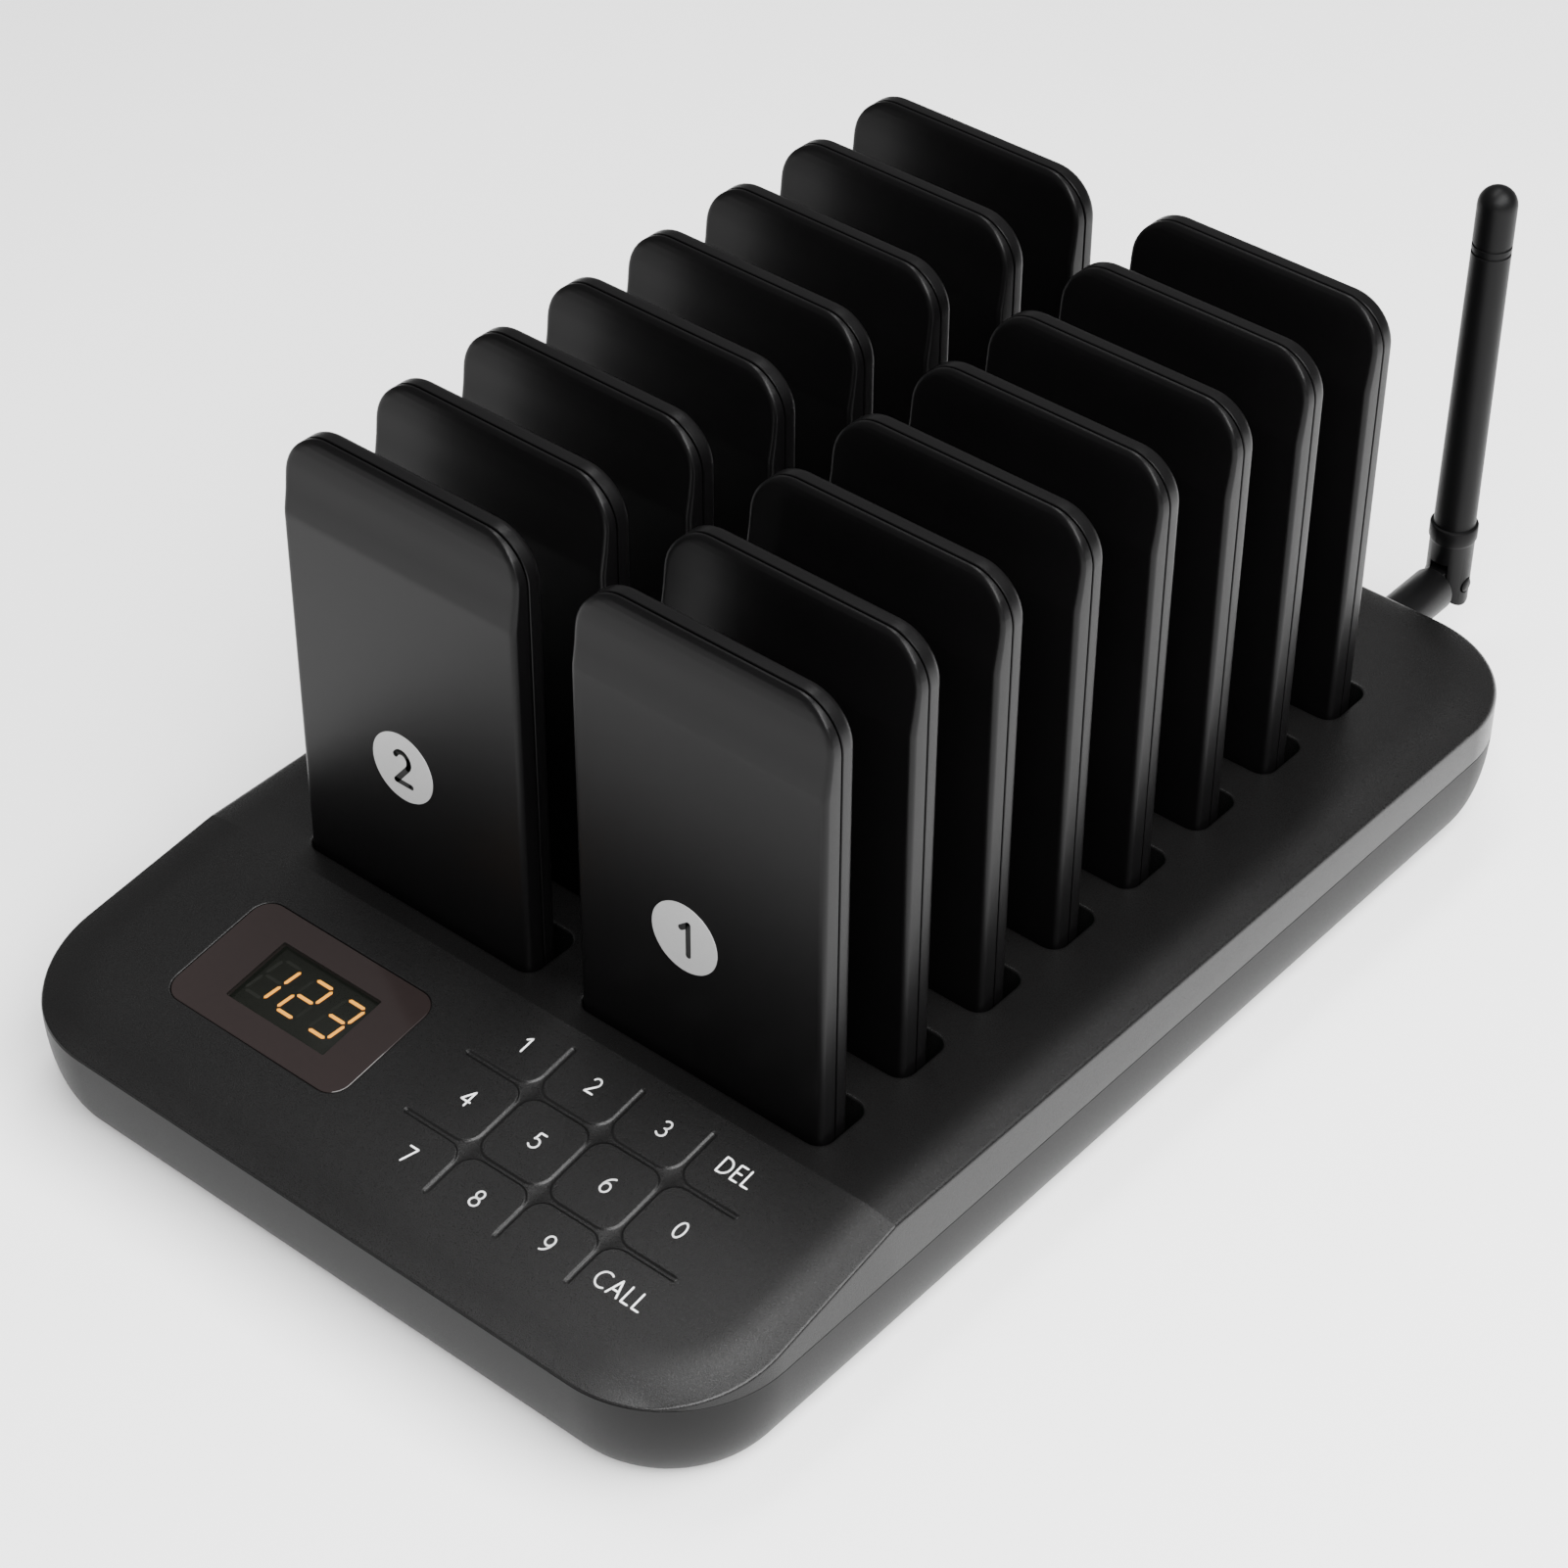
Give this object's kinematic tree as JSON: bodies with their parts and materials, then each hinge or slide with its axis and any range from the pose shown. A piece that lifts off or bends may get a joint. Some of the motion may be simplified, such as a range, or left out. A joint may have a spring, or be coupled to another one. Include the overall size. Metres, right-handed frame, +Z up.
{
  "type": "guest paging station",
  "caption": "Charging base with a sloped keypad and display panel, a folding antenna, and flat guest pagers standing in two columns of slots.",
  "frame": {"origin": "on the standing surface, under the middle of the whole object's box, antenna included", "axes": "+Y to the back, where the antenna is, with the control panel at -Y; +X to the operator's right; +Z up"},
  "size_m": [0.168, 0.2884, 0.1231],
  "materials": {
    "case_black": "fine-grained matt ABS",
    "case_grey": "fine-grained matt ABS",
    "pager_black": "satin front with glossy edges",
    "lens_smoke": "smoked glossy acrylic",
    "module_black": "matt black display housing",
    "board_green": "solder mask on a circuit board",
    "connector_black": "moulded connector",
    "foot_rubber": "matt rubber",
    "antenna_black": "satin moulded plastic",
    "socket_brass": "turned brass"
  },
  "bodies": {
    "base": {"base_top_shell": "case_black", "base_bottom_tray": "case_grey", "display_lens": "lens_smoke", "display_module": "module_black", "control_board": "board_green", "charging_board": "board_green", "power_inlet": "connector_black", "antenna_socket": "socket_brass", "foot_strip_front": "foot_rubber", "foot_strip_rear": "foot_rubber"},
    "antenna_swivel": {"antenna_swivel": "antenna_black"},
    "antenna_mast": {"antenna_mast": "antenna_black"},
    "pager_01": {"pager_01_front_shell": "pager_black", "pager_01_back_shell": "pager_black", "pager_01_core": "board_green"},
    "pager_02": {"pager_02_front_shell": "pager_black", "pager_02_back_shell": "pager_black", "pager_02_core": "board_green"},
    "pager_03": {"pager_03_front_shell": "pager_black", "pager_03_back_shell": "pager_black", "pager_03_core": "board_green"},
    "pager_04": {"pager_04_front_shell": "pager_black", "pager_04_back_shell": "pager_black", "pager_04_core": "board_green"},
    "pager_05": {"pager_05_front_shell": "pager_black", "pager_05_back_shell": "pager_black", "pager_05_core": "board_green"},
    "pager_06": {"pager_06_front_shell": "pager_black", "pager_06_back_shell": "pager_black", "pager_06_core": "board_green"},
    "pager_07": {"pager_07_front_shell": "pager_black", "pager_07_back_shell": "pager_black", "pager_07_core": "board_green"},
    "pager_08": {"pager_08_front_shell": "pager_black", "pager_08_back_shell": "pager_black", "pager_08_core": "board_green"},
    "pager_09": {"pager_09_front_shell": "pager_black", "pager_09_back_shell": "pager_black", "pager_09_core": "board_green"},
    "pager_10": {"pager_10_front_shell": "pager_black", "pager_10_back_shell": "pager_black", "pager_10_core": "board_green"},
    "pager_11": {"pager_11_front_shell": "pager_black", "pager_11_back_shell": "pager_black", "pager_11_core": "board_green"},
    "pager_12": {"pager_12_front_shell": "pager_black", "pager_12_back_shell": "pager_black", "pager_12_core": "board_green"},
    "pager_13": {"pager_13_front_shell": "pager_black", "pager_13_back_shell": "pager_black", "pager_13_core": "board_green"},
    "pager_14": {"pager_14_front_shell": "pager_black", "pager_14_back_shell": "pager_black", "pager_14_core": "board_green"},
    "pager_15": {"pager_15_front_shell": "pager_black", "pager_15_back_shell": "pager_black", "pager_15_core": "board_green"},
    "pager_16": {"pager_16_front_shell": "pager_black", "pager_16_back_shell": "pager_black", "pager_16_core": "board_green"}
  },
  "joints": [
    {"name": "pager_01_lift", "type": "slide", "parent": "base", "child": "pager_01", "axis": [0, 0, 1], "range_m": [0, 0.11]},
    {"name": "pager_02_lift", "type": "slide", "parent": "base", "child": "pager_02", "axis": [0, 0, 1], "range_m": [0, 0.11]},
    {"name": "pager_03_lift", "type": "slide", "parent": "base", "child": "pager_03", "axis": [0, 0, 1], "range_m": [0, 0.11]},
    {"name": "pager_04_lift", "type": "slide", "parent": "base", "child": "pager_04", "axis": [0, 0, 1], "range_m": [0, 0.11]},
    {"name": "pager_05_lift", "type": "slide", "parent": "base", "child": "pager_05", "axis": [0, 0, 1], "range_m": [0, 0.11]},
    {"name": "pager_06_lift", "type": "slide", "parent": "base", "child": "pager_06", "axis": [0, 0, 1], "range_m": [0, 0.11]},
    {"name": "pager_07_lift", "type": "slide", "parent": "base", "child": "pager_07", "axis": [0, 0, 1], "range_m": [0, 0.11]},
    {"name": "pager_08_lift", "type": "slide", "parent": "base", "child": "pager_08", "axis": [0, 0, 1], "range_m": [0, 0.11]},
    {"name": "pager_09_lift", "type": "slide", "parent": "base", "child": "pager_09", "axis": [0, 0, 1], "range_m": [0, 0.11]},
    {"name": "pager_10_lift", "type": "slide", "parent": "base", "child": "pager_10", "axis": [0, 0, 1], "range_m": [0, 0.11]},
    {"name": "pager_11_lift", "type": "slide", "parent": "base", "child": "pager_11", "axis": [0, 0, 1], "range_m": [0, 0.11]},
    {"name": "pager_12_lift", "type": "slide", "parent": "base", "child": "pager_12", "axis": [0, 0, 1], "range_m": [0, 0.11]},
    {"name": "pager_13_lift", "type": "slide", "parent": "base", "child": "pager_13", "axis": [0, 0, 1], "range_m": [0, 0.11]},
    {"name": "pager_14_lift", "type": "slide", "parent": "base", "child": "pager_14", "axis": [0, 0, 1], "range_m": [0, 0.11]},
    {"name": "pager_15_lift", "type": "slide", "parent": "base", "child": "pager_15", "axis": [0, 0, 1], "range_m": [0, 0.11]},
    {"name": "pager_16_lift", "type": "slide", "parent": "base", "child": "pager_16", "axis": [0, 0, 1], "range_m": [0, 0.11]},
    {"name": "antenna_swivel_turn", "type": "hinge", "parent": "base", "child": "antenna_swivel", "pos_m": [0.0458, 0.1391, 0.0205], "axis": [0, 1, 0], "range_deg": [-90, 90]},
    {"name": "antenna_fold", "type": "hinge", "parent": "antenna_swivel", "child": "antenna_mast", "pos_m": [0.0458, 0.1391, 0.0205], "axis": [-1, 0, 0], "range_deg": [0, 90]}
  ]
}
